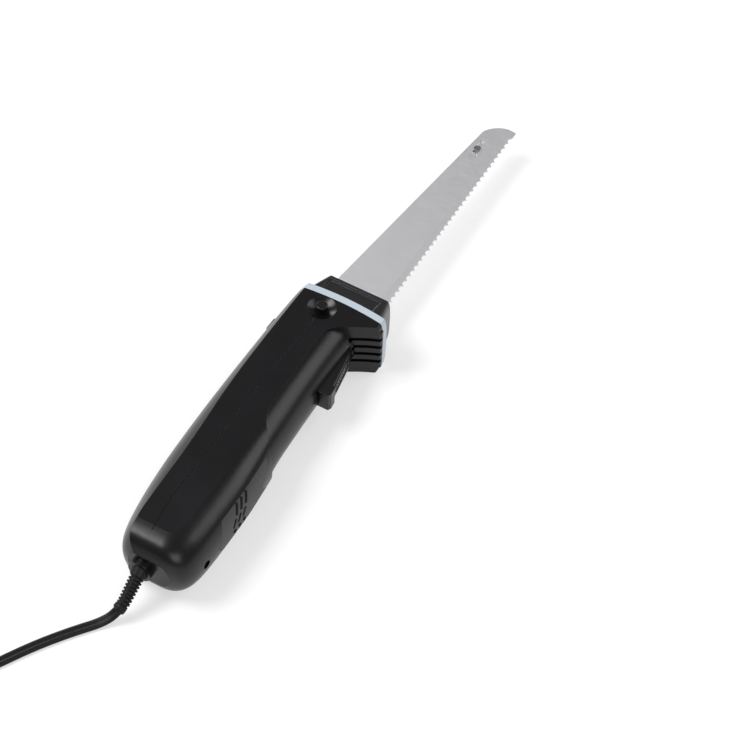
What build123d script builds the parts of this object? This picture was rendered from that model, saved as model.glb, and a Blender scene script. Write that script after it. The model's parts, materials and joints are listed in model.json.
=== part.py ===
from build123d import *
import math
import os

# Electric carving knife lying on its side: +X to the blade tip, +Y to the spine, +Z up.
# Lengths are in millimetres. The outlines are written about the knife's own reference:
# x from the tail, y from the shell seam at the head, z from the plane between the blades.
# The last lines move every piece to the resting frame.

# Housing
body_length = 230.0
half_width = 23.3
spine_rise = 28.3
grip_drop = 36.0
grip_inset = 1.7
flare_inset = 3.4
guard_drop = 43.0
wall = 2.2
skim = 0.5
cavity_join_share = 0.40
cavity_end_share = 0.965
overrun = 30.0
seam_y = -3.6
seam_width = 0.5
seam_depth = 0.5
rib_thickness = 2.0
clearance = 0.3
fit = 0.05
boss_length = 4.0
boss_radius = 8.0
boss_root = 11.5
bulkhead_top = 8.0
cover_depth = 36.0

# Underside panel with its slots
panel_gap = 0.15
panel_rear_share, panel_front_share = 0.152, 0.385
panel_point_share, panel_front_point_share = 0.043, 0.055
panel_half_share = 0.65
vent_count = 3
vent_x_share = 0.225
vent_pitch = 5.5
vent_width = 2.6
vent_slope = 35.0
vent_row_shares = [(0.08, 0.44), (0.55, 0.97)]

# Guard: the concave flare for the front finger, between two cheeks, with grooves
flare_start_share, flare_bend_share, flare_end_share = 0.924, 0.948, 0.979
flare_start_y_share, flare_bend_y_share = 0.442, 0.674
groove_count = 4
groove_width = 3.0
groove_depth = 1.2

# Trim ring and nose
ring_width = 5.0
ring_bulge = 3.0
nose_length = 18.0
nose_panel_depth = 1.4
nose_panel_border = 3.2
nose_panel_slope = 1.0
nose_fullness = 0.80
slot_half = 2.6
slot_margin = 1.0
guide_length = 4.5
passage_half = 9.6
passage_low = -8.0
passage_high = 17.2

# Blades
blade_root = 243.0
blade_length = 208.8
blade_spine_root = 15.2
blade_spine_drop = 20.0
blade_edge = -28.2
blade_edge_rise = 2.3
blade_tip_length = 11.5
blade_tip_share, blade_tip_drop_share = 0.17, 1.43
blade_thickness = 1.0
blade_gap = 0.1
bevel_width = 6.0
bevel_edge = 0.35
bevel_overrun = 10.0
tooth_pitch = 5.45
first_tooth_share = 1.4
gullet_radius = 2.95
tang_width = 10.0
tang_length = 43.0
rivet_x = 422.7
rivet_y = -9.6
rivet_radius = 1.5
rivet_head = 2.6
rivet_head_height = 0.8
keyhole_radius = 3.3

# Drive
gear_x = 172.0
gear_y = 9.5
tooth_module = 1.0
gear_teeth = 28
gear_half_face = 2.5
gear_tooth = 1.2
pressure_angle = 14.5
worm_tooth = 1.25
worm_pitch_radius = 4.0
worm_length = 18.0
worm_turn = -90.0
addendum = 1.0
dedendum = 1.2
throw = 3.5
pivot_play = 0.75
eccentric_radius = 6.5
eccentric_height = 5.5
axle_radius = 2.0
shaft_radius = 2.5
shaft_rear = 26.4
carrier_half_height = 6.0
carrier_inner = 0.2
carrier_top = 7.6
carrier_front = 236.0
yoke_inner = 3.6
yoke_wall = 3.0
frame_inner = 9.5
frame_plate = 2.0
frame_rear = 149.0
frame_front = 194.0
frame_low = -14.8
frame_high = 19.0
bridge_high = -3.0
bearing_length = 5.0
bearing_radius = 5.5
bush_radius = 4.0
latch_x = 207.5
latch_travel = 2.0
latch_bar_low = 3.5
latch_bar_top = 6.0
latch_width = 3.0
latch_height = 2.5
latch_hold_share = 0.7

# Motor
rear_bearing_x = 27.0
rear_bearing_radius = 7.0
commutator_x = 37.0
commutator_length = 11.0
commutator_radius = 8.0
segment_depth = 1.0
segment_gap = 0.5
core_x = 54.0
core_length = 28.0
core_radius = 12.6
core_slots = 12
slot_floor = 6.5
slot_width = 2.4
winding_radius = 11.6
air_gap = 0.5
stator_half = 19.0
stator_radius = 23.5
pole_half = 8.0
coil_outer = 16.3
coil_overhang = 4.5
fan_x = 93.0
fan_length = 9.0
fan_radius = 16.0
fan_blades = 9
fan_lean = 25.0
fan_disc = 1.0
motor_bearing_x = 107.0
brush_x = 42.5
brush_size = 5.0
brush_wall = 1.0
brush_back = 14.0
brush_spring_radius = 1.7
holder_back = 18.5
spring_wire = 0.6

# Controls
release_x = 219.3
release_y = -0.3
release_travel = 3.0
release_radius = 4.0
release_proud = 3.0
release_spring_radius = 1.75
dish_radius = 10.0
dish_depth = 3.4
dish_wall = 1.6
collar_height = 1.8
collar_lip = 1.2
knob_round = 0.8
stem_low = -8.0
cam_depth = 1.0
lock_x = 203.6
lock_length = 10.0
lock_half_width = 4.5
lock_neck_length = 8.0
lock_leg_inner = 11.8
lock_leg_outer = 13.3
lock_proud = 2.0
lock_spring_x = 208.4
lock_spring_radius = 1.8
lock_spring_coil = 1.35
cap_low = 25.6
flange_low = 22.7
flange_height = 1.6
flange_half = 5.6
stirrup_y = 19.0
stirrup_foot = -17.0
stirrup_post = 2.4
shelf_y = 16.1
shelf_thickness = 1.0
trigger_pivot_x = 209.0
trigger_pivot_y = -24.6
trigger_pin_radius = 1.5
trigger_half_width = 7.6
trigger_rear_x = 168.6
trigger_drop = 36.6
trigger_top = -26.4
trigger_ceiling = -21.2
trigger_nose = 2.6
trigger_gap = 0.5
trigger_swing = 1.3
pad_length_share, pad_width_share = 0.60, 0.66
pad_height = 0.6
pad_rim = 0.9
pin_half = 10.4
pin_boss_half = 12.0
pin_boss_length = 3.4
switch_x = 169.5
switch_length = 22.5
switch_half_width = 6.0
switch_low = -20.4
plunger_x = 184.0
plunger_low = -25.9
trigger_spring_x = 174.6
trigger_spring_radius = 2.0

# Screw and leads
screw_x = 22.0
screw_radius = 1.5
screw_head_radius = 2.8
screw_head = 2.0
screw_slot = 0.8
screw_wall = 1.1
lead_radius = 0.9
lead_bend = 3.6
lead_start_x, lead_start_y = 14.0, -2.0
lead_rise_x, lead_fall_x, lead_dip_x, lead_low_x = 33.0, 124.0, 138.0, 146.0
lead_side = 6.0
lead_gap = 3.0
lead_low = -17.6
lead_high = 14.0

# Cord, its sleeve and clamp
cord_diameter = 5.2
cord_points = [(10.0, seam_y, 0.0), (-3.0, seam_y, 0.0), (-24.0, -3.2, -13.4),
               (-33.0, 2.6, cord_diameter / 2 - half_width), (-50.2, 16.4, cord_diameter / 2 - half_width),
               (-71.5, 30.9, cord_diameter / 2 - half_width), (-98.7, 45.7, cord_diameter / 2 - half_width)]
arc_share = 0.45
relief_inner = 8.0
relief_radius = 4.7
relief_tip_radius = 4.0
relief_wall = 1.1
relief_ribs = 9
relief_rib = 1.4
relief_first_share = 0.30
relief_share = 0.97
clamp_length = 6.0
clamp_half = 5.5

# Coil, tie and plug
coil_centre = (-184.0, 41.0)
coil_approach = 28.0
coil_turn = 61.4
coil_outer_radius = 50.0
coil_half_turns = 11
coil_reverse = 7
coil_pitch = 7.4
coil_layer = 5.8
coil_tail = 30.0
coil_samples = 900
coil_neighbour_share = 0.05
tie_width = 6.0
tie_thickness = 0.8
tie_clearance = 0.3
plug_length = 34.0
plug_width = 25.0
plug_round_share = 0.3
plug_shares = [(0.0, 0.40, 0.55), (0.30, 0.48, 0.66), (0.50, 0.86, 0.90), (0.62, 1.0, 1.0), (1.0, 0.94, 0.92)]
prong_length = 17.0
prong_thickness = 1.5
prong_width = 6.3
prong_gap = 12.7

# Resting frame: the middle of the knife's footprint on the surface
frame_x = 226.0
frame_y = -6.2

# Places worked out from the values above
shaft_y = gear_y - tooth_module * gear_teeth / 2 - worm_pitch_radius
ring_back = body_length - ring_bulge
ring_front = ring_back + ring_width
nose_front = ring_front + nose_length
grip_half = half_width - grip_inset
flare_half = grip_half - flare_inset
blade_tip = blade_root + blade_length
lock_top = spine_rise + lock_proud
screw_seat = -0.78 * grip_drop
screw_tip = 0.35 * spine_rise
latch_tip = gear_y - tang_width / 2 + latch_travel * latch_hold_share
collar_top = half_width - dish_depth - dish_wall
trigger_front = trigger_pivot_x + trigger_nose
cord_floor = cord_diameter / 2 - half_width
plug_height = cord_diameter + 2 * coil_layer


# A closed block between two corners.
def block(x, y, z):
    size = Box(x[1] - x[0], y[1] - y[0], z[1] - z[0])
    return Pos((x[0] + x[1]) / 2, (y[0] + y[1]) / 2, (z[0] + z[1]) / 2) * size


# A cylinder along X, Y or Z from one station to the next.
def rod_x(x, y, z, radius):
    return Pos((x[0] + x[1]) / 2, y, z) * Rot(0, 90, 0) * Cylinder(radius, x[1] - x[0])


def rod_y(x, y, z, radius):
    return Pos(x, (y[0] + y[1]) / 2, z) * Rot(90, 0, 0) * Cylinder(radius, y[1] - y[0])


def rod_z(x, y, z, radius):
    return Pos(x, y, (z[0] + z[1]) / 2) * Cylinder(radius, z[1] - z[0])


# The same thing on the far side of the blade plane.
def mirrored(shape):
    return mirror(shape, about=Plane.XY)


# One cross-section of the housing: flat sides, a crowned spine and a round underside.
def section(x, half, crease, top, flat_end, bottom, fullness):
    drop = flat_end - bottom
    return Wire([
        Line((x, crease, half), (x, flat_end, half)),
        Bezier((x, flat_end, half), (x, flat_end - fullness * drop, half),
               (x, bottom, fullness * half), (x, bottom, 0)),
        Bezier((x, bottom, 0), (x, bottom, -fullness * half),
               (x, flat_end - fullness * drop, -half), (x, flat_end, -half)),
        Line((x, flat_end, -half), (x, crease, -half)),
        ThreePointArc((x, crease, -half), (x, top, 0), (x, crease, half)),
    ])


# Shares by station: length, half width, crease, spine top, flat end, underside, fullness.
# The creases and tops are shares of the spine's rise, the rest of the grip's drop.
body_shares = [
    (0.000, 0.460, 0.100, 0.260, 0.380, 0.640, 0.60),
    (0.009, 0.670, 0.200, 0.410, 0.370, 0.790, 0.60),
    (0.030, 0.870, 0.310, 0.560, 0.350, 0.920, 0.61),
    (0.070, 0.975, 0.365, 0.675, 0.340, 0.990, 0.63),
    (0.130, 1.000, 0.390, 0.775, 0.330, 1.010, 0.65),
    (0.200, 1.000, 0.406, 0.860, 0.330, 1.010, 0.66),
    (0.310, 1.000, 0.431, 0.940, 0.330, 1.000, 0.66),
    (0.420, 1.000, 0.491, 0.980, 0.350, 0.945, 0.66),
    (0.530, 1.000, 0.569, 1.000, 0.440, 0.880, 0.70),
    (0.640, 1.000, 0.618, 1.003, 0.620, 1.004, 0.78),
    (0.750, 1.000, 0.636, 1.000, 0.820, 1.120, 0.82),
    (0.860, 1.000, 0.640, 0.995, 0.980, 1.170, 0.82),
    (0.970, 1.000, 0.640, 0.965, 1.060, 1.190, 0.82),
    (1.080, 1.000, 0.605, 0.900, 1.060, 1.180, 0.82),
]
grip_shares = [
    (0.330, 1.000, 0.440, 0.940, 0.220, 0.975, 0.60),
    (0.420, 1.000, 0.490, 0.965, 0.250, 0.925, 0.58),
    (0.510, 1.000, 0.550, 0.980, 0.270, 0.860, 0.56),
    (0.600, 1.000, 0.600, 0.985, 0.260, 0.828, 0.56),
    (0.690, 1.000, 0.620, 0.985, 0.260, 0.803, 0.56),
    (0.780, 1.000, 0.625, 0.985, 0.260, 0.787, 0.56),
    (0.870, 1.000, 0.625, 0.985, 0.260, 0.780, 0.56),
    (0.985, 1.000, 0.615, 0.980, 0.260, 0.780, 0.56),
]
section_step_share = 0.035


# A smooth curve through the rows of a share table, read at one station.
def shares_at(rows, station):
    row = max(i for i in range(len(rows) - 1) if rows[i][0] <= station)
    low, high = rows[row], rows[row + 1]
    before, after = rows[max(row - 1, 0)], rows[min(row + 2, len(rows) - 1)]
    width = high[0] - low[0]
    t = (station - low[0]) / width
    values = [station]
    for k in range(1, len(low)):
        leaving = width * (high[k] - before[k]) / (high[0] - before[0])
        arriving = width * (after[k] - low[k]) / (after[0] - low[0])
        values.append(
            (2 * t**3 - 3 * t**2 + 1) * low[k] + (t**3 - 2 * t**2 + t) * leaving
            + (3 * t**2 - 2 * t**3) * high[k] + (t**3 - t**2) * arriving
        )
    return values


# A solid lofted through evenly spaced sections, drawn in by an inset all round.
def body_loft(rows, half, inset, first=0, last=1):
    first, last = max(first, rows[0][0]), min(last, rows[-1][0])
    close = [row[0] for row in rows[:3] if row[0] > first]
    start = close[-1] if first == 0 else first
    count = math.ceil((last - start) / section_step_share)
    even = [start + (last - start) * i / count for i in range(count)] + [last]
    stations = sorted(set([first] + (close if first == 0 else []) + even))
    wires = []
    for station in stations:
        x_share, half_share, crease, top, flat_end, bottom, fullness = shares_at(rows, min(station, last))
        wires.append(section(
            x_share * body_length + inset * (station == 0),
            half_share * half - inset,
            crease * (spine_rise - inset),
            top * spine_rise - inset,
            -flat_end * (grip_drop - inset),
            -bottom * grip_drop + inset,
            fullness,
        ))
    return Solid.make_loft(wires)


# The outline that the flat side strip and the rear bulge keep, down to the grip hollow.
strip_x_shares = [0.420, 0.452, 0.485, 0.540, 0.630, 0.750, 0.860, 0.902, 0.922, 0.944, 0.972, 0.990]
strip_y_shares = [1.250, 0.900, 0.700, 0.450, 0.370, 0.340, 0.335, 0.400, 0.570, 0.800, 1.150, 1.600]


# A prism through the whole width, from a list of edges in the blade plane.
def prism(edges, half=half_width + overrun):
    return extrude(Pos(0, 0, -half) * make_face(edges), 2 * half)


def strip_region():
    points = [(x * body_length, -y * grip_drop) for x, y in zip(strip_x_shares, strip_y_shares)]
    rear, front = -overrun, body_length + overrun
    low, high = -2 * guard_drop, 2 * spine_rise
    return prism([
        Spline(*points),
        Polyline(points[-1], (points[-1][0], low), (front, low), (front, high),
                 (rear, high), (rear, low), (points[0][0], low), points[0]),
    ])


def flare_curve(depth):
    start = (flare_start_share * body_length, -flare_start_y_share * guard_drop + depth)
    bend = (flare_bend_share * body_length + depth, -flare_bend_y_share * guard_drop + depth)
    end = (flare_end_share * body_length + depth, -guard_drop)
    return start, bend, end


def guard_flare():
    start, bend, end = flare_curve(0)
    front = (body_length + overrun, -guard_drop)
    back = (start[0], -grip_drop / 3)
    edges = [ThreePointArc(start, bend, end), Polyline(end, front, (front[0], back[1]), back, start)]
    return prism(edges, flare_half)


def finger_grooves():
    start, bend, end = flare_curve(groove_depth)
    low = -2 * guard_drop
    edges = [ThreePointArc(start, bend, end), Polyline(end, (end[0], low), (start[0], low), start)]
    groove = prism(edges, groove_width / 2)
    pitch = 2 * flare_half / (groove_count + 1)
    return [Pos(0, 0, (i - (groove_count - 1) / 2) * pitch) * groove for i in range(groove_count)]


# The border between two neighbours at the head: an arc that bulges towards the blades.
def behind_edge(x):
    high, low = (x, spine_rise + skim), (x, -guard_drop - skim)
    middle = (x + ring_bulge, (high[1] + low[1]) / 2)
    rear = -2 * overrun
    return prism([
        ThreePointArc(high, middle, low),
        Polyline(low, (x, low[1] - overrun), (rear, low[1] - overrun),
                 (rear, high[1] + overrun), (x, high[1] + overrun), high),
    ])


# The seam between the shells, which follows the spine and bends down to the cord.
seam_x_shares = [-0.10, 0.02, 0.15, 0.33, 0.56, 0.68, 0.91, 1.10]
seam_y_shares = [1.08, 1.00, 0.05, -0.13, -0.41, -0.28, 0.07, 0.26]


def seam_region(offset=0):
    points = [(x * body_length, y * seam_y + offset) for x, y in zip(seam_x_shares, seam_y_shares)]
    high = 3 * spine_rise
    return [Spline(*points), Polyline(points[-1], (points[-1][0], high), (points[0][0], high), points[0])]


def spine_side():
    return prism(seam_region())


# A shallow groove along the seam in the flat side faces.
def seam_groove():
    band = prism(seam_region(-seam_width / 2)) - prism(seam_region(seam_width / 2))
    far, depth = 2 * body_length, half_width - seam_depth
    return band - block((-far, far), (-far, far), (-depth, depth))


def outer_body():
    far = 2 * body_length
    slab = block((-overrun, far), (-2 * guard_drop, 2 * spine_rise), (-half_width, half_width))
    last = body_shares[-1][0]
    strip = body_loft(body_shares, half_width + skim, 0, 0, last) & slab & strip_region()
    body = strip + body_loft(grip_shares, grip_half, 0, grip_shares[0][0]) + guard_flare()
    body += rod_x((-boss_length, boss_root), seam_y, 0, boss_radius)
    return body - finger_grooves() - seam_groove()


def cavity():
    rear = body_loft(body_shares, half_width + skim, wall + skim, 0, cavity_join_share)
    front = body_loft(grip_shares, grip_half, wall, grip_shares[0][0], cavity_end_share)
    return rear + front


# The passage through the head in which the blade carriers slide.
def head_passage():
    start = (cavity_end_share - rib_thickness / body_length) * body_length
    return block((start, ring_front + ring_bulge + wall), (passage_low, passage_high),
                 (-passage_half, passage_half))


# Walls across the housing that carry the bearings, the motor and the gear frame.
def bulkheads(hollow):
    def wall_at(x):
        return hollow & block((x, x + rib_thickness), (-guard_drop, bulkhead_top), (-half_width, half_width))

    seat = (bearing_length - rib_thickness) / 2
    rear = wall_at(rear_bearing_x + seat) - rod_x((0, motor_bearing_x), shaft_y, 0, rear_bearing_radius)
    middle = wall_at(motor_bearing_x + seat) - rod_x((core_x, frame_rear), shaft_y, 0, bearing_radius)
    motor = wall_at(core_x + rib_thickness) + wall_at(core_x + core_length - 2 * rib_thickness)
    motor -= stator_blank()
    outer = frame_inner + frame_plate
    carry = wall_at(frame_rear + rib_thickness)
    carry -= block((motor_bearing_x, body_length), (frame_low, frame_high), (-outer, outer))
    for side in (-1, 1):
        carry -= rod_x((motor_bearing_x, body_length), lead_low, side * lead_gap, lead_radius + clearance)
    shelf_x = (lock_spring_x - lock_spring_radius - fit, lock_spring_x + lock_spring_radius + fit)
    shelf = hollow & block(shelf_x, (shelf_y, shelf_y + shelf_thickness), (-half_width, half_width))
    bosses = hollow & block((trigger_pivot_x - pin_boss_length, trigger_pivot_x + pin_boss_length),
                            (-guard_drop, trigger_ceiling), (-pin_boss_half, pin_boss_half))
    return rear + middle + motor + carry + shelf + bosses


# The vents' panel in the underside: a chevron outline, the point towards the tail.
def chevron(x_rear, x_front, point_rear, point_front, half):
    return Polyline(
        (x_rear, 0, 0), (x_rear + point_rear, 0, half), (x_front + point_front, 0, half),
        (x_front, 0, 0), (x_front + point_front, 0, -half), (x_rear + point_rear, 0, -half),
        close=True,
    )


def panel_region(margin):
    rear = panel_rear_share * body_length - margin
    front = panel_front_share * body_length + margin
    outline = chevron(rear, front, panel_point_share * body_length,
                      panel_front_point_share * body_length, panel_half_share * half_width + margin)
    low = -2 * grip_drop
    return Pos(0, low, 0) * extrude(make_face(outline), cover_depth - low / 4, dir=(0, 1, 0))


# Slots across the panel, each broken by ribs.
def vent_slots():
    slots = []
    panel_half = panel_half_share * half_width
    for i in range(vent_count):
        x = vent_x_share * body_length + i * vent_pitch
        for inner, outer in vent_row_shares:
            middle = (inner + outer) / 2 * panel_half
            long = (outer - inner) * panel_half / math.cos(math.radians(vent_slope))
            shift = middle * math.tan(math.radians(vent_slope))
            slot = Box(vent_width, grip_drop, long)
            for side in (-1, 1):
                slots.append(Pos(x + shift, -grip_drop, side * middle) * Rot(0, side * vent_slope, 0) * slot)
    return slots


# The round dish in the side face that the release button stands in.
def dish():
    ball_radius = (dish_radius**2 + dish_depth**2) / (2 * dish_depth)
    return Pos(release_x, release_y, half_width - dish_depth + ball_radius) * Sphere(ball_radius)


def dish_boss():
    low = half_width - dish_depth - dish_wall
    return rod_z(release_x, release_y, (low, half_width - wall), dish_radius + wall)


def housing():
    hollow = cavity()
    body = outer_body() - hollow + (hollow & dish_boss()) + bulkheads(hollow)
    body += hollow & rod_y(screw_x, (-grip_drop, spine_rise), 0, screw_head_radius + screw_wall)
    body -= dish()
    body -= rod_z(release_x, release_y, (0, half_width), release_radius + fit)
    body -= rod_z(release_x, release_y, (0, collar_top + fit), release_radius + collar_lip + fit)
    body -= head_passage()
    half = lock_length / 2 + fit
    body -= block((lock_x - half, lock_x + half), (gear_y, lock_top),
                  (-lock_half_width - fit, lock_half_width + fit))
    body -= trigger_opening()
    body -= rod_z(trigger_pivot_x, trigger_pivot_y, (-pin_half, pin_half), trigger_pin_radius)
    body -= rod_y(screw_x, (-2 * grip_drop, screw_seat), 0, screw_head_radius + clearance)
    body -= rod_y(screw_x, (screw_seat, screw_tip), 0, screw_radius)
    body -= rod_x((-2 * boss_length, relief_inner), seam_y, 0, relief_radius)
    return body & behind_edge(ring_back)


def grip_shell(body):
    return body - spine_side() - panel_region(panel_gap)


def spine_shell(body):
    return body & spine_side()


def vent_panel(body):
    return ((body - spine_side()) & panel_region(0)) - vent_slots()


def housing_screw():
    head = rod_y(screw_x, (screw_seat - screw_head, screw_seat), 0, screw_head_radius)
    shank = rod_y(screw_x, (screw_seat, screw_tip), 0, screw_radius)
    slot = block((screw_x - screw_radius, screw_x + screw_radius),
                 (screw_seat - 2 * screw_head, screw_seat - screw_head / 2),
                 (-screw_slot / 2, screw_slot / 2))
    turned = Pos(screw_x, 0, 0) * Rot(0, 90, 0) * Pos(-screw_x, 0, 0) * slot
    return head + shank - slot - turned


# The bright trim ring: a slice of the head's own section around the passage.
def trim_ring():
    far = 2 * body_length
    slab = block((0, far), (-2 * guard_drop, 2 * spine_rise), (-half_width, half_width))
    rows = head_rows()
    slice_ = body_loft(rows, half_width + skim, 0, rows[0][0], rows[-1][0]) & slab
    return (slice_ & behind_edge(ring_front)) - behind_edge(ring_back) - head_passage()


# Evenly spaced rows of the body's shares over the head alone.
def head_rows():
    first, last = ring_row_shares
    steps = [first + (last - first) * i / ring_row_count for i in range(ring_row_count)]
    return [shares_at(body_shares, step) for step in steps] + [body_shares[-1]]


# The nose's two sections: half width, crease, top, flat end and underside, as shares.
nose_back_shares = (0.974, 0.601, 0.935, 0.830, 0.945)
nose_tip_shares = (0.833, 0.368, 0.665, 0.745, 0.825)
nose_panel_share = 0.25
ring_row_shares = (0.94, 1.08)
ring_row_count = 4


def nose_rows():
    rows = []
    for x, row in ((ring_front - ring_width, nose_back_shares), (nose_front, nose_tip_shares)):
        half, crease, top, flat_end, bottom = row
        rows.append((x, half * half_width, crease * spine_rise, top * spine_rise,
                     -flat_end * guard_drop, -bottom * guard_drop))
    return rows


def nose_section(values):
    return section(*values, nose_fullness)


def nose():
    body = Solid.make_loft([nose_section(nose_rows()[0]), nose_section(nose_rows()[1])])
    body -= behind_edge(ring_front)
    body -= side_panels()
    body -= head_passage()
    pocket_end = carrier_front + throw + slot_margin
    low, high = gear_y - carrier_half_height - slot_margin, passage_high - slot_margin
    slot = carrier_top + slot_margin
    body -= block((ring_back, pocket_end), (low, high), (-slot, slot))
    body -= block((blade_root - throw - slot_margin, nose_front + overrun),
                  (blade_edge - slot_margin, blade_spine_root + slot_margin), (-slot_half, slot_half))
    return body


# The sunk panels in the nose's two sides, open to the ring and with sloping walls.
def side_panels():
    back, tip = nose_rows()
    slope = (back[1] - tip[1]) / (tip[0] - back[0])
    rear, front = ring_front - ring_bulge, nose_front - nose_panel_border
    high = tip[2] - nose_panel_border + (back[2] - tip[2]) * nose_panel_share
    low = tip[4] + nose_panel_border
    middle = (rear + front) / 2
    face_z = tip[1] + slope * (tip[0] - middle)
    angle = math.degrees(math.atan(slope))
    outline = Rectangle(front - rear, high - low)
    mouth = Rectangle(front - rear + 2 * nose_panel_slope, high - low + 2 * nose_panel_slope)
    pocket = loft([outline, Pos(0, 0, nose_panel_depth) * mouth]) + extrude(
        Pos(0, 0, nose_panel_depth) * mouth, nose_panel_depth)
    upper = Pos(middle, (high + low) / 2, face_z) * Rot(0, angle, 0) * Pos(0, 0, -nose_panel_depth) * pocket
    return [upper, mirrored(upper)]


# The guide in the ring's opening that the carriers slide through.
def blade_guide():
    x = (ring_back + rib_thickness, ring_back + rib_thickness + guide_length)
    outer = block(x, (passage_low, passage_high), (-passage_half, passage_half))
    half = carrier_half_height + 2 * fit
    top = carrier_top + 2 * fit
    return outer - block((0, blade_tip), (gear_y - half, gear_y + half), (-top, top))


# One blade's outline in its plane, with the scalloped edge and the tang.
def blade_outline():
    tip = blade_root + blade_length
    spine_end = (tip - blade_tip_length, blade_spine_root - blade_spine_drop)
    edge_tip = (tip, blade_edge + blade_edge_rise)
    bend = (tip - blade_tip_length * blade_tip_share,
            blade_spine_root - blade_spine_drop * blade_tip_drop_share)
    low, high = gear_y - tang_width / 2, gear_y + tang_width / 2
    back = blade_root - tang_length
    edges = [
        ThreePointArc(spine_end, bend, edge_tip),
        Polyline(edge_tip, (blade_root, blade_edge), (blade_root, low), (back, low), (back, high),
                 (blade_root, high), (blade_root, blade_spine_root), spine_end),
    ]
    face = make_face(edges)
    slope = math.atan(blade_edge_rise / blade_length)
    reach = math.sqrt(gullet_radius**2 - (tooth_pitch / 2) ** 2)
    first = nose_front + tooth_pitch * first_tooth_share
    count = int((tip - first) / tooth_pitch)
    for i in range(count):
        x = first + i * tooth_pitch
        y = blade_edge + (x - blade_root) * math.tan(slope) - reach
        face -= Pos(x, y) * Circle(gullet_radius)
    notch = Rectangle(latch_width + clearance, 2 * latch_travel)
    face -= Pos(latch_x, low) * notch
    return face


# Ground on the outer side only, from the full thickness down to a thin edge.
def edge_bevel():
    slope = math.degrees(math.atan(blade_edge_rise / blade_length))
    drop = blade_thickness - bevel_edge
    corner = (blade_root, blade_edge, blade_gap / 2 + blade_thickness)
    plane = Plane(origin=corner, x_dir=(0, 1, 0), z_dir=(1, 0, 0))
    far = bevel_overrun
    face = plane * make_face(Polyline((-far, 0), (-far, -drop), (0, -drop), (bevel_width, 0),
                                      (bevel_width, far), (-far, far), close=True))
    length = blade_length + overrun
    bar = extrude(face, length, dir=(1, 0, 0))
    turn = Pos(blade_root, blade_edge, 0) * Rot(0, 0, slope) * Pos(-blade_root, -blade_edge, 0)
    return turn * bar


def blade_upper():
    body = extrude(Pos(0, 0, blade_gap / 2) * blade_outline(), blade_thickness)
    reach = 2 * throw + rivet_radius + clearance
    slot = rod_z(rivet_x - reach + rivet_radius, rivet_y, (0, half_width), keyhole_radius)
    half = rivet_radius + clearance
    slot += block((rivet_x - reach, rivet_x + reach), (rivet_y - half, rivet_y + half), (0, half_width))
    return body - edge_bevel() - slot


def blade_lower():
    body = mirrored(extrude(Pos(0, 0, blade_gap / 2) * blade_outline(), blade_thickness) - edge_bevel())
    return body - rod_z(rivet_x, rivet_y, (-half_width, half_width), rivet_radius)


# The rivet that keeps the two tips together, with its head over the keyhole slot.
def blade_rivet():
    top = blade_gap / 2 + blade_thickness + blade_gap
    head = rod_z(rivet_x, rivet_y, (top, top + rivet_head_height), rivet_head)
    return rod_z(rivet_x, rivet_y, (-blade_gap / 2 - blade_thickness, top), rivet_radius) + head


# One carrier: a yoke round the eccentric and a bar with the tang's pocket.
def carrier_upper():
    half_x = eccentric_radius + pivot_play
    half_y = eccentric_radius + throw + slot_margin / 2
    yoke = block((gear_x - half_x - yoke_wall, gear_x + half_x + yoke_wall),
                 (gear_y - half_y - yoke_wall, gear_y + half_y + yoke_wall), (yoke_inner, carrier_top))
    yoke -= block((gear_x - half_x, gear_x + half_x), (gear_y - half_y, gear_y + half_y), (0, half_width))
    start = gear_x + half_x + yoke_wall / 2
    bar = block((start, carrier_front), (gear_y - carrier_half_height, gear_y + carrier_half_height),
                (carrier_inner, carrier_top))
    gear_reach = tooth_module * gear_teeth / 2 + addendum + throw + slot_margin
    bar -= block((0, gear_x + gear_reach), (-guard_drop, guard_drop), (0, yoke_inner))
    tang_half = tang_width / 2
    tang_top = blade_gap / 2 + blade_thickness
    pocket = block((blade_root - tang_length, blade_tip), (gear_y - tang_half, gear_y + tang_half),
                   (0, tang_top))
    half = latch_width / 2 + 2 * fit
    hook = block((latch_x - half, latch_x + half), (-guard_drop, latch_tip + 2 * fit),
                 (0, latch_bar_top + 2 * fit))
    return yoke + bar - pocket - hook


# The latch finger that holds a tang in its carrier, with the bar the button pushes.
def latch_upper():
    bar_y = release_y - shaft_radius - 4 * fit
    half = latch_width / 2
    bar = block((latch_x - half, release_x + throw + half), (bar_y - latch_height, bar_y),
                (latch_bar_low, latch_bar_top))
    arm = block((latch_x - half, latch_x + half), (bar_y - latch_height, latch_tip),
                (carrier_inner, latch_bar_top))
    return bar + arm


# The drive gear, its teeth slanted to the worm's lead, with an eccentric on each face.
def drive_gear():
    pitch_radius = tooth_module * gear_teeth / 2
    blank = rod_z(gear_x, gear_y, (-gear_half_face, gear_half_face), pitch_radius + addendum)
    lead = math.atan(tooth_module / (2 * worm_pitch_radius))
    pitch = math.pi * tooth_module
    gap = pitch - gear_tooth
    flank = math.tan(math.radians(pressure_angle))
    low, high = -dedendum, 2 * addendum
    shift = gear_half_face * math.tan(lead)
    outline = make_face(Polyline((-gap / 2 - flank * low, low), (gap / 2 + flank * low, low),
                                 (gap / 2 + flank * high, high), (-gap / 2 - flank * high, high), close=True))
    cutter = extrude(Pos(0, pitch_radius, -gear_half_face) * Pos(shift, 0, 0) * outline,
                     2 * gear_half_face / math.cos(lead), dir=(-math.sin(lead), 0, math.cos(lead)))
    centre = Pos(gear_x, gear_y, 0)
    step = 360 / gear_teeth
    blank -= [centre * Rot(0, 0, i * step) * cutter for i in range(gear_teeth)]
    top = gear_half_face + eccentric_height
    blank += rod_z(gear_x, gear_y + throw, (0, top), eccentric_radius)
    blank += rod_z(gear_x, gear_y - throw, (-top, 0), eccentric_radius)
    return blank - rod_z(gear_x, gear_y, (-half_width, half_width), axle_radius + fit)


def gear_axle():
    end = frame_inner + frame_plate
    return rod_z(gear_x, gear_y, (-end, end), axle_radius)


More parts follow.
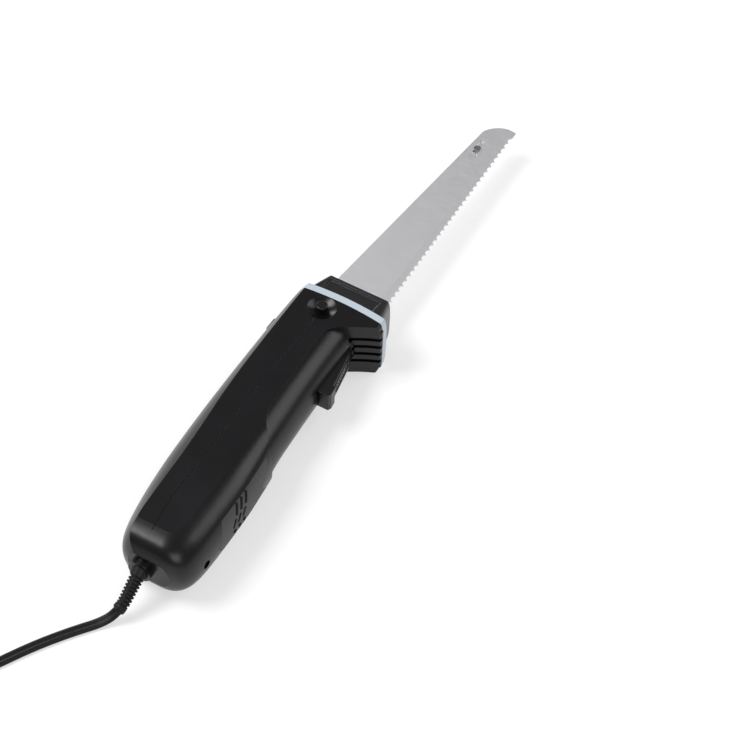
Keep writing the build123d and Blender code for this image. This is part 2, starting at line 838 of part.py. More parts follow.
# The worm: a right-hand thread of one start on the motor's shaft.
def worm():
    pitch = math.pi * tooth_module
    root = worm_pitch_radius - dedendum
    tip = worm_pitch_radius + addendum
    start = gear_x - worm_length / 2
    flank = math.tan(math.radians(pressure_angle))
    turns = int(worm_length / pitch)
    height = turns * pitch
    inner, outer = worm_tooth / 2 + flank * dedendum, worm_tooth / 2 - flank * addendum
    rise = Helix(pitch, height, root)
    profile = make_face(Polyline((root - 4 * fit, 0, -inner), (tip, 0, -outer), (tip, 0, outer),
                                 (root - 4 * fit, 0, inner), close=True))
    thread = sweep(profile, path=rise, is_frenet=True)
    thread = Pos(gear_x - height / 2, shaft_y, 0) * Rot(0, 90, 0) * Rot(0, 0, worm_turn) * thread
    core = rod_x((start, start + worm_length), shaft_y, 0, root)
    ends = rod_x((start, start + worm_length), shaft_y, 0, tip)
    return (core + thread) & ends


def worm_shaft():
    return worm() + rod_x((shaft_rear, frame_front), shaft_y, 0, shaft_radius)


# The frame of two plates and two bridges that carries the gear's axle and the shaft.
def gear_frame():
    outer = frame_inner + frame_plate
    frame = block((frame_rear, frame_front), (frame_low, frame_high), (-outer, outer))
    frame -= block((frame_rear, frame_front), (bridge_high, frame_high), (-frame_inner, frame_inner))
    gap = (frame_rear + bearing_length, frame_front - bearing_length)
    frame -= block(gap, (frame_low, bridge_high), (-frame_inner, frame_inner))
    frame -= rod_x((frame_rear, frame_front), shaft_y, 0, bush_radius)
    return frame - rod_z(gear_x, gear_y, (-outer, outer), axle_radius)


# A plain bearing round the shaft.
def bearing(x, radius):
    ring = rod_x((x, x + bearing_length), shaft_y, 0, radius)
    return ring - rod_x((x, x + bearing_length), shaft_y, 0, shaft_radius + fit)


# The same solid turned about the shaft in equal steps.
def round_shaft(shape, count):
    axis = Pos(0, shaft_y, 0)
    return [axis * Rot(i * 360 / count, 0, 0) * Pos(0, -shaft_y, 0) * shape for i in range(count)]


def commutator():
    x = (commutator_x, commutator_x + commutator_length)
    drum = rod_x(x, shaft_y, 0, commutator_radius) - rod_x(x, shaft_y, 0, shaft_radius)
    groove = block(x, (shaft_y + commutator_radius - segment_depth, shaft_y + 2 * commutator_radius),
                   (-segment_gap / 2, segment_gap / 2))
    return drum - round_shaft(groove, core_slots)


def armature_core():
    x = (core_x, core_x + core_length)
    core = rod_x(x, shaft_y, 0, core_radius) - rod_x(x, shaft_y, 0, shaft_radius)
    return core - round_shaft(core_slot(x, 2 * core_radius), core_slots)


def core_slot(x, outer):
    return block(x, (shaft_y + slot_floor, shaft_y + outer), (-slot_width / 2, slot_width / 2))


def armature_windings():
    front = core_x + core_length
    ends = rod_x((core_x - coil_overhang, core_x), shaft_y, 0, winding_radius)
    ends += rod_x((front, front + coil_overhang), shaft_y, 0, winding_radius)
    ends -= rod_x((0, motor_bearing_x), shaft_y, 0, shaft_radius)
    return ends + round_shaft(core_slot((core_x, front), winding_radius), core_slots)


def stator_blank():
    x = (core_x, core_x + core_length)
    square = block(x, (shaft_y - stator_half, shaft_y + stator_half), (-stator_half, stator_half))
    return square & rod_x(x, shaft_y, 0, stator_radius)


def stator():
    x = (core_x, core_x + core_length)
    window = rod_x(x, shaft_y, 0, coil_outer) & block(
        x, (shaft_y - pole_half, shaft_y + pole_half), (-stator_half, stator_half))
    return stator_blank() - rod_x(x, shaft_y, 0, core_radius + air_gap) - window


# One field coil: half a sleeve round the armature, cut away over its pole.
def field_coil():
    ends = (core_x - coil_overhang, core_x + core_length + coil_overhang)
    sleeve = rod_x(ends, shaft_y, 0, coil_outer) - rod_x(ends, shaft_y, 0, core_radius + air_gap)
    sleeve &= block(ends, (shaft_y + air_gap, shaft_y + stator_half), (-stator_half, stator_half))
    return sleeve - block((core_x, core_x + core_length), (shaft_y + pole_half, spine_rise),
                          (-stator_half, stator_half))


def across_shaft(shape):
    return mirror(shape, about=Plane(origin=(0, shaft_y, 0), z_dir=(0, 1, 0)))


def cooling_fan():
    x = (fan_x, fan_x + fan_length)
    disc = rod_x((x[0], x[0] + fan_disc), shaft_y, 0, fan_radius)
    hub = rod_x(x, shaft_y, 0, 2 * shaft_radius)
    root = shaft_y + 2 * shaft_radius - fan_disc
    blade = block((x[0] + fan_disc / 2, x[1]), (root, shaft_y + fan_radius), (-fan_disc / 2, fan_disc / 2))
    hinge = Pos(0, shaft_y + fan_radius / 2, 0)
    leaned = hinge * Rot(fan_lean, 0, 0) * Pos(0, -shaft_y - fan_radius / 2, 0) * blade
    fan = disc + hub + round_shaft(leaned, fan_blades)
    return fan & rod_x(x, shaft_y, 0, fan_radius) - rod_x(x, shaft_y, 0, shaft_radius)


# The carbon brush, its holder and its spring on the visible side.
def brush():
    half = brush_size / 2
    x = (brush_x - half, brush_x + half)
    return block(x, (shaft_y - half, shaft_y + half), (commutator_radius + fit, brush_back))


def brush_holder():
    half = brush_size / 2
    outer = half + brush_wall
    tube = block((brush_x - outer, brush_x + outer), (shaft_y - outer, shaft_y + outer),
                 (commutator_radius + 2 * brush_wall, holder_back))
    return tube - block((brush_x - half, brush_x + half), (shaft_y - half, shaft_y + half),
                        (0, holder_back - brush_wall))


# A compression spring of square wire that stands on the origin along +Z.
def spring(length, radius, turns):
    rise = Helix((length - spring_wire) / turns, length - spring_wire, radius)
    half = spring_wire / 2
    start = rise @ 0
    face = Plane(origin=start, x_dir=(1, 0, 0), z_dir=rise % 0) * Rectangle(2 * half, 2 * half)
    return Pos(0, 0, half) * sweep(face, path=rise, is_frenet=True)


def brush_spring():
    length = holder_back - brush_wall - brush_back
    return Pos(brush_x, shaft_y, brush_back) * spring(length, brush_spring_radius, 3)


# The release button: its knob, a collar under the dish and the stem with two cams.
def release_button():
    knob = rod_z(release_x, release_y, (collar_top - collar_height, half_width + release_proud),
                 release_radius)
    knob = fillet(knob.faces().sort_by(Axis.Z)[-1].edges(), knob_round)
    collar = rod_z(release_x, release_y, (collar_top - collar_height, collar_top),
                   release_radius + collar_lip)
    stem = rod_z(release_x, release_y, (stem_low, collar_top), shaft_radius)
    button = knob + collar + stem
    for low in (latch_bar_top, -latch_bar_low):
        button += cam(low)
    return button


# A wedge on the stem that pushes a latch bar down as the button goes in.
def cam(low):
    face = release_y - shaft_radius
    outline = Polyline((0, face + cam_depth, low), (0, face, low),
                       (0, face - latch_travel, low + release_travel),
                       (0, face + cam_depth, low + release_travel), close=True)
    return Pos(release_x - latch_width / 2, 0, 0) * extrude(make_face(outline), latch_width, dir=(1, 0, 0))


def release_spring():
    low = -(grip_half - wall)
    return Pos(release_x, release_y, low) * spring(stem_low - low, release_spring_radius, 5)


# The safety button on the spine, with a stirrup that straddles the carriers.
def lock_button():
    half = lock_length / 2
    cap = block((lock_x - half, lock_x + half), (cap_low, lock_top), (-lock_half_width, lock_half_width))
    cap = fillet(cap.faces().sort_by(Axis.Y)[-1].edges(), knob_round)
    neck = (lock_x - lock_neck_length / 2, lock_x + lock_neck_length / 2)
    button = cap + block(neck, (flange_low, cap_low), (-lock_half_width, lock_half_width))
    button += block((neck[0], lock_spring_x + lock_spring_radius), (flange_low, flange_low + flange_height),
                    (-flange_half, flange_half))
    post = (lock_x - stirrup_post, lock_x + stirrup_post)
    button += block(post, (stirrup_y, flange_low), (-latch_width, latch_width))
    button += block(post, (stirrup_y, stirrup_y + flange_height), (-lock_leg_outer, lock_leg_outer))
    for side in (-1, 1):
        inner, outer = sorted((side * lock_leg_inner, side * lock_leg_outer))
        button += block(post, (stirrup_foot, stirrup_y + flange_height), (inner, outer))
    return button


def lock_spring():
    base = shelf_y + shelf_thickness
    return Pos(lock_spring_x, base, 0) * Rot(-90, 0, 0) * spring(flange_low - base, lock_spring_coil, 4)


# The trigger's side outline: shares of its length and of its drop.
trigger_shares = [(1.0, 0.590), (1.0, 0.755), (0.85, 0.810), (0.22, 0.930), (0.18, 0.985), (0.06, 1.0),
                  (0.0, 0.970), (0.0, 0.7213), (0.64, 0.7213), (0.70, 0.640), (0.78, 0.590)]


# The trigger, hinged at its front end on a pin across the grip, with an oval pad.
def trigger():
    long = trigger_front - trigger_rear_x
    points = [(trigger_rear_x + x * long, -y * trigger_drop) for x, y in trigger_shares]
    body = prism([Polyline(*points, close=True)], trigger_half_width)
    body = fillet(body.edges().filter_by(Axis.Z).group_by(Axis.X)[0], knob_round)
    body += trigger_pad(points[2], points[3])
    return body - rod_z(trigger_pivot_x, trigger_pivot_y, (-pin_half, pin_half), trigger_pin_radius + fit)


# The pad's raised oval rim on the trigger's sloping face.
def trigger_pad(front, rear):
    middle = ((front[0] + rear[0]) / 2, (front[1] + rear[1]) / 2, 0)
    slope = math.degrees(math.atan2(front[1] - rear[1], front[0] - rear[0]))
    long = pad_length_share * (trigger_front - trigger_rear_x)
    wide = 2 * pad_width_share * trigger_half_width
    rim = SlotOverall(long, wide) - SlotOverall(long - 2 * pad_rim, wide - 2 * pad_rim)
    pad = extrude(rim, pad_height, both=True)
    return Pos(*middle) * Rot(0, 0, slope) * Rot(90, 0, 0) * pad


def trigger_opening():
    x = (trigger_rear_x - trigger_swing, trigger_front + trigger_gap)
    half = trigger_half_width + clearance
    return block(x, (-2 * guard_drop, trigger_ceiling), (-half, half))


def trigger_pin():
    return rod_z(trigger_pivot_x, trigger_pivot_y, (-pin_half, pin_half), trigger_pin_radius)


def trigger_spring():
    place = Pos(trigger_spring_x, trigger_top, 0) * Rot(-90, 0, 0)
    return place * spring(switch_low - trigger_top, trigger_spring_radius, 3)


def switch_body():
    x = (switch_x, switch_x + switch_length)
    body = block(x, (switch_low, frame_low), (-switch_half_width, switch_half_width))
    return body - rod_y(plunger_x, (switch_low, frame_low - dedendum), 0, trigger_pin_radius + fit)


def switch_plunger():
    return rod_y(plunger_x, (plunger_low, switch_low + trigger_pin_radius), 0, trigger_pin_radius)


# One of the insulated leads, from the cord over the motor and down to the switch.
def lead(side):
    near, far = side * lead_side, side * lead_gap
    points = [(lead_start_x, lead_start_y, near), (lead_rise_x, lead_high, near),
              (lead_fall_x, lead_high, near), (lead_dip_x, 0, near), (lead_low_x, lead_low, far), (switch_x, lead_low, far)]
    path = FilletPolyline(*points, radius=lead_bend)
    face = Plane(origin=path @ 0, z_dir=path % 0) * Circle(lead_radius)
    return sweep(face, path=path)


# The cord's route from the clamp in the tail down to the surface and on to the coil.
def cord_path():
    coil = coil_path()
    approach = coil @ 0 - (coil % 0) * coil_approach
    points = [Vector(*point) for point in cord_points] + [approach, coil @ 0]
    radii = arc_radii(points)
    print("cord: arc radii", [round(radius, 1) for radius in radii])
    return FilletPolyline(*points, radius=radii)


# Each arc of a route is as large as its two runs allow.
def arc_radii(points):
    radii = []
    for before, corner, after in zip(points, points[1:], points[2:]):
        turn = (corner - before).get_angle(after - corner)
        short = min((corner - before).length, (after - corner).length)
        radii.append(arc_share * short / math.tan(math.radians(turn / 2)))
    return radii


def tube(path, radius):
    return sweep(Plane(origin=path @ 0, z_dir=path % 0) * Circle(radius), path=path)


# The moulded sleeve round the cord's exit, ribbed along its straight run.
def strain_relief():
    route = [Vector(*point) for point in cord_points]
    bend, end = cord_points[1], cord_points[2]
    run = [end[k] - bend[k] for k in range(3)]
    long = math.sqrt(sum(step**2 for step in run))
    tip = tuple(bend[k] + run[k] * relief_share for k in range(3))
    path = FilletPolyline((relief_inner, seam_y, 0), bend, tip, radius=arc_radii(route)[0])
    sleeve = tube(path, cord_diameter / 2 + relief_wall)
    sleeve += rod_x((-boss_length - relief_wall, relief_inner), seam_y, 0, relief_radius)
    direction = tuple(step / long for step in run)
    for i in range(relief_ribs):
        share = relief_first_share + (relief_share - relief_first_share) * i / (relief_ribs - 1)
        centre = tuple(bend[k] + run[k] * share for k in range(3))
        radius = relief_radius + (relief_tip_radius - relief_radius) * i / (relief_ribs - 1)
        sleeve += Plane(origin=centre, z_dir=direction) * Cylinder(radius, relief_rib)
    return sleeve - tube(cord_path(), cord_diameter / 2)


def cord_run():
    return tube(cord_path(), cord_diameter / 2)


# The clamp that grips the cord inside the tail.
def cord_clamp():
    clamp = block((relief_inner, relief_inner + clamp_length), (seam_y - clamp_half, seam_y + clamp_half),
                  (-relief_radius, relief_radius))
    return clamp - rod_x((0, relief_inner + clamp_length), seam_y, 0, cord_diameter / 2)


# The crossings of the coil: it spirals in on the surface, climbs and spirals out again.
def coil_crossings():
    points = []
    for k in range(coil_half_turns + 1):
        inward = k // 2 if k <= coil_reverse else (2 * coil_reverse - k) // 2 - 0.5
        reach = (coil_outer_radius - inward * coil_pitch) * (-1) ** k
        layer = coil_layer * (k >= coil_reverse)
        points.append((coil_place() * Pos(reach, 0, layer)).position)
    return points


# Half a turn as two tangent arcs, level at both ends.
def half_turn(start, end, heading):
    joint = (start + end) * 0.5 + heading * ((end - start).length / 2)
    return [TangentArc(start, joint, tangent=heading), TangentArc(end, joint, tangent=heading)]


def coil_path():
    crossings = coil_crossings()
    heading = (coil_place() * Pos(0, 1, 0)).position - coil_place().position
    edges = [Line(crossings[0] - heading * cord_diameter, crossings[0])]
    for k in range(coil_half_turns):
        edges += half_turn(crossings[k], crossings[k + 1], heading * (-1) ** k)
    tail = crossings[-1] + heading * (-1) ** coil_half_turns * coil_tail
    return Wire(edges + [Line(crossings[-1], tail)])


def coil_place():
    x, y = coil_centre
    return Pos(x, y, cord_floor) * Rot(0, 0, coil_turn)


# The least gap between the coil's turns, measured on points along its line.
def coil_gap(path):
    samples = coil_samples
    points = [path @ (i / samples) for i in range(samples + 1)]
    apart = int(samples * coil_neighbour_share)
    least = min((points[i] - points[j]).length
                for i in range(0, samples, 3) for j in range(i + apart, samples + 1))
    return least - cord_diameter


def cord_coil():
    path = coil_path()
    print(f"coil: length {path.length:.0f} mm, least gap {coil_gap(path):.2f} mm")
    return tube(path, cord_diameter / 2)


# A strap buckled round both layers of the coil on the side away from the knife.
def cord_tie():
    inner = coil_outer_radius - (coil_reverse - 1) // 2 * coil_pitch - cord_diameter / 2 - tie_clearance
    outer = coil_outer_radius + cord_diameter / 2 + tie_clearance
    high = coil_layer + cord_diameter + tie_clearance
    loop = block((-outer - tie_thickness, -inner + tie_thickness), (-tie_width / 2, tie_width / 2),
                 (0, high + tie_thickness))
    loop -= block((-outer, -inner), (-tie_width, tie_width), (-high, high))
    return Pos(0, 0, -cord_diameter / 2) * coil_place() * loop


# The mains plug on the coil's far end, with its moulded neck round the cord.
def plug_body():
    sections = [
        Pos(share * plug_length, 0, 0) * Rot(0, 90, 0) * RectangleRounded(
            high * plug_height, wide * plug_width, high * plug_height * plug_round_share)
        for share, wide, high in plug_shares
    ]
    return plug_place() * Solid.make_loft([face.wire() for face in sections], ruled=True)


def plug_place():
    path = coil_path()
    heading = path % 1
    return Pos(path @ 1) * Rot(0, 0, math.degrees(math.atan2(heading.Y, heading.X)))


def plug_prong(side):
    prong = block((plug_length, plug_length + prong_length), (-prong_thickness / 2, prong_thickness / 2),
                  (-prong_width / 2, prong_width / 2))
    return plug_place() * Pos(0, side * prong_gap / 2, 0) * prong


# Every named piece of the knife about its own reference.
def pieces():
    body = housing()
    blades = {"blade_upper": blade_upper(), "blade_lower": blade_lower(), "blade_rivet": blade_rivet()}
    carrier, latch = carrier_upper(), latch_upper()
    carriers = {"carrier_upper": carrier, "carrier_lower": mirrored(carrier),
                "latch_upper": latch, "latch_lower": mirrored(latch)}
    drive = {"drive_gear": drive_gear(), "gear_axle": gear_axle(), "gear_frame": gear_frame(),
             "worm_shaft": worm_shaft(), "bush_rear": bearing(frame_rear, bush_radius),
             "bush_front": bearing(frame_front - bearing_length, bush_radius)}
    coil = field_coil()
    motor = {"commutator": commutator(), "armature_core": armature_core(),
             "armature_windings": armature_windings(), "cooling_fan": cooling_fan(),
             "stator": stator(), "field_coil_upper": coil, "field_coil_lower": across_shaft(coil),
             "bearing_rear": bearing(rear_bearing_x, rear_bearing_radius),
             "bearing_front": bearing(motor_bearing_x, bearing_radius)}
    brushes = {"brush_upper": brush(), "brush_holder_upper": brush_holder(),
               "brush_spring_upper": brush_spring()}
    brushes |= {name.replace("upper", "lower"): mirrored(shape) for name, shape in brushes.items()}
    controls = {"release_button": release_button(), "release_spring": release_spring(),
                "lock_button": lock_button(), "lock_spring": lock_spring(),
                "trigger": trigger(), "trigger_pin": trigger_pin(), "trigger_spring": trigger_spring(),
                "switch_body": switch_body(), "switch_plunger": switch_plunger()}
    cord = {"lead_upper": lead(1), "lead_lower": lead(-1), "cord_clamp": cord_clamp(),
            "strain_relief": strain_relief(), "cord_run": cord_run(), "cord_coil": cord_coil(),
            "cord_tie": cord_tie(), "plug_body": plug_body(),
            "plug_prong_left": plug_prong(1), "plug_prong_right": plug_prong(-1)}
    shells = {"grip_shell": grip_shell(body), "spine_shell": spine_shell(body),
              "vent_panel": vent_panel(body), "housing_screw": housing_screw(), "trim_ring": trim_ring(), "nose": nose(),
              "blade_guide": blade_guide()}
    return shells | blades | carriers | drive | motor | brushes | controls | cord


if __name__ == "__main__":
    os.makedirs("parts", exist_ok=True)
    for name, shape in pieces().items():
        export_step(Pos(-frame_x, -frame_y, half_width) * shape, f"parts/{name}.step")
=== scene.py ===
import json
import math

import bpy
import numpy as np
from mathutils import Euler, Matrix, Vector


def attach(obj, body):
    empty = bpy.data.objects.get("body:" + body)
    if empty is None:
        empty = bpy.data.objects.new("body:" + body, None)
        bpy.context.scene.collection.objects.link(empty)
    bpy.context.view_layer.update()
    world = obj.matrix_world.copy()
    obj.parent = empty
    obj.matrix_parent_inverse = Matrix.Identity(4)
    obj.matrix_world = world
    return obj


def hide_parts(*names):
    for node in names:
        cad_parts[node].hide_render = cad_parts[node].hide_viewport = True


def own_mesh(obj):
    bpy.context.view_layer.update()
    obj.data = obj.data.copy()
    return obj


# Electric carving knife lying on its side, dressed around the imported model.
# The row frame is in metres: +X to the blade tip, +Y to the spine, +Z up.
# Lengths in the dictionaries are in millimetres unless a note says otherwise.
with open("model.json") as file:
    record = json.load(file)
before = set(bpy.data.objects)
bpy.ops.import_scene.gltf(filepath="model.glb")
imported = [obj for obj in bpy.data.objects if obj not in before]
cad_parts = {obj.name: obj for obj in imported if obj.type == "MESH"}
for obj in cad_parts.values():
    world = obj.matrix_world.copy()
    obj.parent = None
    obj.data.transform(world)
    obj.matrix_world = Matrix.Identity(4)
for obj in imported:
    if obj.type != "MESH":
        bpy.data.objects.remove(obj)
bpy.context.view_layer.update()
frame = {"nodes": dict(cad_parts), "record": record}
nodes = frame["nodes"]
mm = 0.001


# A hex sRGB colour as the linear values that Blender's sockets take.
def hexColour(text):
    parts = [int(text[i:i + 2], 16) / 255 for i in (1, 3, 5)]
    linear = [p / 12.92 if p <= 0.04045 else ((p + 0.055) / 1.055) ** 2.4 for p in parts]
    return (*linear, 1.0)


# Adds one node, with its settings as keywords and its sockets as a dictionary of values or links.
def addNode(material, kind, sockets=None, **settings):
    node = material.node_tree.nodes.new(kind)
    for name, value in settings.items():
        setattr(node, name, value)
    for name, value in (sockets or {}).items():
        if isinstance(value, bpy.types.NodeSocket):
            material.node_tree.links.new(value, node.inputs[name])
        else:
            node.inputs[name].default_value = value
    return node


def newMaterial(name):
    material = bpy.data.materials.new(name)
    material.use_nodes = True
    return material, material.node_tree.nodes["Principled BSDF"]


def linkTo(material, output, socket):
    material.node_tree.links.new(output, socket)


# How far a finish varies over its surface.
vary = {
    "noise": (0.3, 0.7),                      # where most of a noise's values lie
    "cloudScale": 30.0, "cloudDetail": 3.0,   # clouds in a metre, for plastics
    "grainDetail": 2.0, "lineDetail": 3.0,
    "plasticGloss": 0.03, "metalGloss": 0.05,  # roughness each way
    "edge": (0.99, 0.85), "edgePolish": 0.07,  # from flat to a full edge, and the roughness lost there
    "edgeSamples": 6,
    "lineShade": (0.93, 1.05),
}


# Fine texture left by a spark-eroded mould: grain as a bump, with clouds in the colour and the gloss.
# Edges are rounded in the shading by edgeMm, and are a little more polished there from handling.
def mouldedPlastic(name, dark, light, roughness, grainMm, grainHeightMm, edgeMm=0.4, ior=1.5):
    material, shader = newMaterial(name)
    place = addNode(material, "ShaderNodeTexCoord").outputs["Object"]
    grain = addNode(material, "ShaderNodeTexNoise", {
        "Vector": place, "Scale": 1 / (grainMm * mm), "Detail": vary["grainDetail"]})
    cloud = addNode(material, "ShaderNodeTexNoise", {
        "Vector": place, "Scale": vary["cloudScale"], "Detail": vary["cloudDetail"]})
    tint = addNode(material, "ShaderNodeMix", {"Factor": cloud.outputs["Fac"]}, data_type="RGBA")
    tint.inputs["A"].default_value = hexColour(dark)
    tint.inputs["B"].default_value = hexColour(light)
    gloss = addNode(material, "ShaderNodeMapRange", {
        "Value": cloud.outputs["Fac"], "From Min": vary["noise"][0], "From Max": vary["noise"][1],
        "To Min": roughness - vary["plasticGloss"], "To Max": roughness + vary["plasticGloss"]})
    surface = addNode(material, "ShaderNodeNewGeometry")
    rounded = addNode(material, "ShaderNodeBevel", {"Radius": edgeMm * mm}, samples=vary["edgeSamples"])
    level = addNode(material, "ShaderNodeVectorMath", {
        0: rounded.outputs["Normal"], 1: surface.outputs["Normal"]}, operation="DOT_PRODUCT")
    polish = addNode(material, "ShaderNodeMapRange", {
        "Value": level.outputs["Value"], "From Min": vary["edge"][0], "From Max": vary["edge"][1],
        "To Min": 0.0, "To Max": vary["edgePolish"]})
    rough = addNode(material, "ShaderNodeMath", {
        0: gloss.outputs["Result"], 1: polish.outputs["Result"]}, operation="SUBTRACT")
    bump = addNode(material, "ShaderNodeBump", {
        "Height": grain.outputs["Fac"], "Strength": 1.0, "Distance": grainHeightMm * mm,
        "Normal": rounded.outputs["Normal"]})
    linkTo(material, tint.outputs["Result"], shader.inputs["Base Color"])
    linkTo(material, rough.outputs["Value"], shader.inputs["Roughness"])
    linkTo(material, bump.outputs["Normal"], shader.inputs["Normal"])
    shader.inputs["IOR"].default_value = ior
    return material


# Steel or another metal: fine lines along the axes that stretch has small shares for, or else an even grain.
def brushedMetal(name, colour, roughness, lineMm, stretch, lineHeightMm):
    material, shader = newMaterial(name)
    place = addNode(material, "ShaderNodeTexCoord").outputs["Object"]
    stretched = addNode(material, "ShaderNodeMapping", {"Vector": place, "Scale": stretch})
    lines = addNode(material, "ShaderNodeTexNoise", {
        "Vector": stretched.outputs["Vector"], "Scale": 1 / (lineMm * mm), "Detail": vary["lineDetail"]})
    gloss = addNode(material, "ShaderNodeMapRange", {
        "Value": lines.outputs["Fac"], "From Min": vary["noise"][0], "From Max": vary["noise"][1],
        "To Min": roughness - vary["metalGloss"], "To Max": roughness + vary["metalGloss"]})
    shade = addNode(material, "ShaderNodeMix", {"Factor": lines.outputs["Fac"]}, data_type="RGBA")
    for socket, share in zip("AB", vary["lineShade"]):
        shade.inputs[socket].default_value = [min(1, c * share) for c in hexColour(colour)[:3]] + [1]
    bump = addNode(material, "ShaderNodeBump", {
        "Height": lines.outputs["Fac"], "Strength": 1.0, "Distance": lineHeightMm * mm})
    linkTo(material, shade.outputs["Result"], shader.inputs["Base Color"])
    linkTo(material, gloss.outputs["Result"], shader.inputs["Roughness"])
    linkTo(material, bump.outputs["Normal"], shader.inputs["Normal"])
    shader.inputs["Metallic"].default_value = 1.0
    return material


# Black ABS moulding, satin from a lightly textured tool: deep black with broad soft highlights.
satinAbs = mouldedPlastic("satinBlackAbs", "#09090b", "#0d0d10", 0.3, 0.35, 0.003, edgeMm=0.12, ior=1.38)
# The underside panel's coarser spark texture: greyer, because it scatters the light.
texturedAbs = mouldedPlastic("sparkTexturedAbs", "#28282a", "#343437", 0.55, 0.7, 0.06)
# The nose is a plainer, drier black, so its panels show only by their borders.
noseAbs = mouldedPlastic("noseBlackAbs", "#121214", "#18181a", 0.3, 0.4, 0.005, edgeMm=0.7)
# The trim ring's pale blue-grey insert, smooth and satin: it reads as a light line round the nose.
trimAbs = mouldedPlastic("paleTrimAbs", "#a6afb9", "#b0b9c2", 0.38, 0.5, 0.003)
# Buttons and trigger: polypropylene, a little duller than the housing.
buttonPlastic = mouldedPlastic("buttonPolypropylene", "#0a0a0b", "#0f0f10", 0.32, 0.3, 0.005,
                               edgeMm=0.5, ior=1.42)
# Cord, strain relief and plug: soft vinyl, black, with a waxy low gloss.
cordVinyl = mouldedPlastic("cordVinyl", "#050506", "#09090a", 0.46, 0.25, 0.006, edgeMm=0.2, ior=1.33)
# Nylon for the carriers and the gear, natural off-white.
nylon = mouldedPlastic("naturalNylon", "#dcd8c8", "#e6e2d4", 0.5, 0.5, 0.004)
# The leads' red vinyl skin, a duller red than paint.
leadVinyl = mouldedPlastic("leadVinyl", "#7d1a15", "#8a211b", 0.45, 0.3, 0.004)
# The brushes' pressed carbon, matt and grainy.
carbonBlock = mouldedPlastic("pressedCarbon", "#161616", "#1f1f1f", 0.6, 0.3, 0.02)

# Blade steel: lines across the blade from grinding, drawn coarser than real ones, soft broad reflections.
bladeSteel = brushedMetal("groundStainlessSteel", "#dedee1", 0.48, 0.25, (1.0, 0.04, 1.0), 0.0015)
# Turned and drawn steel for pins, shafts and springs: a sharper, darker grey.
plainSteel = brushedMetal("turnedSteel", "#a9a9ab", 0.3, 0.3, (1.0, 1.0, 1.0), 0.001)
# The stator's and armature's stacked plates: dull grey with lines across the stack.
laminations = brushedMetal("stackedLaminations", "#77777a", 0.42, 0.5, (1.0, 0.02, 0.02), 0.02)
# The gear frame's pressed zinc plate, cloudy and soft.
framePlate = brushedMetal("pressedZincPlate", "#a3a3a8", 0.45, 0.8, (1.0, 1.0, 1.0), 0.004)
# Porous bearing bronze: warm, brown and dull.
bronze = brushedMetal("sinteredBronze", "#9d7b4a", 0.5, 0.2, (1.0, 1.0, 1.0), 0.006)
# The commutator's copper, bright, with fine lines along its bars.
copper = brushedMetal("turnedCopper", "#c0744a", 0.3, 0.3, (0.05, 1.0, 1.0), 0.002)
# Enamelled winding wire: red-brown, in fine rows along the shaft.
windingWire = brushedMetal("enamelledCopperWire", "#9c4a26", 0.35, 0.5, (0.04, 1.0, 1.0), 0.08)
# The plug's bare brass prongs, bright and a little scratched.
brass = brushedMetal("bareBrass", "#c9a65c", 0.28, 0.3, (1.0, 1.0, 1.0), 0.001)

slotFinish = {
    "black_abs": satinAbs, "black_textured": texturedAbs, "black_nose": noseAbs, "pale_trim": trimAbs,
    "black_button": buttonPlastic, "black_nylon": buttonPlastic, "black_vinyl": cordVinyl,
    "bearing_nylon": nylon, "gear_nylon": nylon,
    "blade_steel": bladeSteel, "rivet_steel": plainSteel, "shaft_steel": plainSteel,
    "screw_steel": plainSteel, "spring_steel": plainSteel,
    "lamination_steel": laminations, "frame_zinc": framePlate, "bronze": bronze,
    "copper": copper, "enamelled_copper": windingWire, "brass": brass, "carbon": carbonBlock,
    "lead_insulation": leadVinyl,
}
for part in frame["record"]["subparts"]:
    mesh = nodes[part["node"]].data
    mesh.materials.clear()
    mesh.materials.append(slotFinish.get(part["material_slot"], satinAbs))
print("materials on", len(nodes), "CAD nodes")

# The row frame's origin, from the tail and from the shell seam at the head.
# The plane between the blades, which z is measured from, lies halfWidth above the surface.
reference = {"x": 226.0, "y": -6.2, "halfWidth": 23.3}


# A place about the knife's own reference, in millimetres, as a point of the row frame.
def rowPoint(x, y, z):
    return Vector((x - reference["x"], y - reference["y"], z + reference["halfWidth"])) * mm


# The same for an array of places.
def rowPoints(places):
    return (places - np.array([reference["x"], reference["y"], -reference["halfWidth"]])) * mm


def circleAngles(count):
    return np.linspace(0, 2 * math.pi, count, endpoint=False)


# A value's size to a power, with its sign kept: 2/n turns a circle into |x|^n + |y|^n = 1.
def signedPower(value, power):
    return np.sign(value) * np.abs(value) ** power


# 0 to 1 and smooth between the two edges.
def smoothStep(low, high, value):
    t = np.clip((value - low) / (high - low), 0, 1)
    return t * t * (3 - 2 * t)


# How far a quarter-circle rim draws a surface in, by the distance from its nearer end.
def rimInset(fromEnd, rim):
    lip = np.clip(fromEnd / rim, 0, 1)
    return rim * (1 - np.sqrt(1 - (1 - lip) ** 2))


def meshObject(name, points, faces, material):
    mesh = bpy.data.meshes.new(name)
    mesh.from_pydata([tuple(p) for p in points], [], [tuple(f) for f in faces])
    mesh.polygons.foreach_set("use_smooth", [True] * len(mesh.polygons))
    mesh.materials.append(material)
    piece = bpy.data.objects.new(name, mesh)
    bpy.context.scene.collection.objects.link(piece)
    return piece


# Quads between neighbouring rings of a grid of rings x around points, closed by one face at each end.
def gridFaces(rings, around):
    ring, step = np.meshgrid(np.arange(rings - 1), np.arange(around), indexing="ij")
    after = (step + 1) % around
    quads = np.stack([ring * around + step, ring * around + after,
                      (ring + 1) * around + after, (ring + 1) * around + step], axis=-1).reshape(-1, 4)
    last = (rings - 1) * around
    return [*quads.tolist(), list(range(around))[::-1], list(range(last, last + around))]


